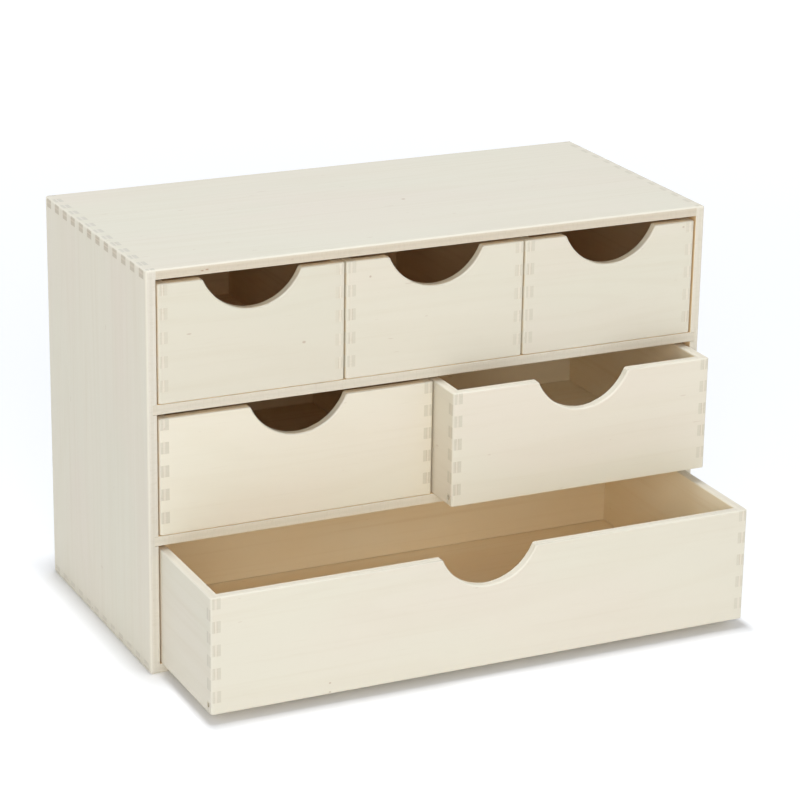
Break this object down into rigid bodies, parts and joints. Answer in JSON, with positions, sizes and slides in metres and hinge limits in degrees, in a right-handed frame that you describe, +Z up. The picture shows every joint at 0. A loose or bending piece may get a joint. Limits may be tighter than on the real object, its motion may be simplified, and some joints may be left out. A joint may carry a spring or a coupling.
{
  "type": "desktop mini drawers",
  "caption": "Low plywood desktop chest of small box-jointed drawers in three rows, with rounded finger cut-outs in the fronts, two of them drawn open.",
  "frame": {"origin": "centre of the casing's underside, on the surface that it stands on, leaving the open drawers out of the count", "axes": "+Z up, +X to the right as seen from the front, +Y to the rear; the drawers open towards -Y"},
  "size_m": [0.42, 0.29, 0.286],
  "materials": {
    "casing_plywood": "sanded, unfinished pale plywood",
    "drawer_plywood": "sanded, unfinished pale plywood",
    "thin_plywood": "unsanded thin plywood"
  },
  "bodies": {
    "casing": {"left_side": "casing_plywood", "right_side": "casing_plywood", "top_panel": "casing_plywood", "bottom_panel": "casing_plywood", "upper_shelf": "casing_plywood", "lower_shelf": "casing_plywood", "back_panel": "thin_plywood"},
    "bottom_drawer": {"bottom_drawer_front": "drawer_plywood", "bottom_drawer_back": "drawer_plywood", "bottom_drawer_left_side": "drawer_plywood", "bottom_drawer_right_side": "drawer_plywood", "bottom_drawer_bottom": "thin_plywood"},
    "middle_left_drawer": {"middle_left_drawer_front": "drawer_plywood", "middle_left_drawer_back": "drawer_plywood", "middle_left_drawer_left_side": "drawer_plywood", "middle_left_drawer_right_side": "drawer_plywood", "middle_left_drawer_bottom": "thin_plywood"},
    "middle_right_drawer": {"middle_right_drawer_front": "drawer_plywood", "middle_right_drawer_back": "drawer_plywood", "middle_right_drawer_left_side": "drawer_plywood", "middle_right_drawer_right_side": "drawer_plywood", "middle_right_drawer_bottom": "thin_plywood"},
    "top_left_drawer": {"top_left_drawer_front": "drawer_plywood", "top_left_drawer_back": "drawer_plywood", "top_left_drawer_left_side": "drawer_plywood", "top_left_drawer_right_side": "drawer_plywood", "top_left_drawer_bottom": "thin_plywood"},
    "top_middle_drawer": {"top_middle_drawer_front": "drawer_plywood", "top_middle_drawer_back": "drawer_plywood", "top_middle_drawer_left_side": "drawer_plywood", "top_middle_drawer_right_side": "drawer_plywood", "top_middle_drawer_bottom": "thin_plywood"},
    "top_right_drawer": {"top_right_drawer_front": "drawer_plywood", "top_right_drawer_back": "drawer_plywood", "top_right_drawer_left_side": "drawer_plywood", "top_right_drawer_right_side": "drawer_plywood", "top_right_drawer_bottom": "thin_plywood"}
  },
  "joints": [
    {"name": "bottom_slide", "type": "slide", "parent": "casing", "child": "bottom_drawer", "axis": [0, -1, 0], "range_m": [-0.09, 0.05]},
    {"name": "middle_left_slide", "type": "slide", "parent": "casing", "child": "middle_left_drawer", "axis": [0, -1, 0], "range_m": [0, 0.14]},
    {"name": "middle_right_slide", "type": "slide", "parent": "casing", "child": "middle_right_drawer", "axis": [0, -1, 0], "range_m": [-0.029, 0.111]},
    {"name": "top_left_slide", "type": "slide", "parent": "casing", "child": "top_left_drawer", "axis": [0, -1, 0], "range_m": [0, 0.14]},
    {"name": "top_middle_slide", "type": "slide", "parent": "casing", "child": "top_middle_drawer", "axis": [0, -1, 0], "range_m": [0, 0.14]},
    {"name": "top_right_slide", "type": "slide", "parent": "casing", "child": "top_right_drawer", "axis": [0, -1, 0], "range_m": [0, 0.14]}
  ]
}
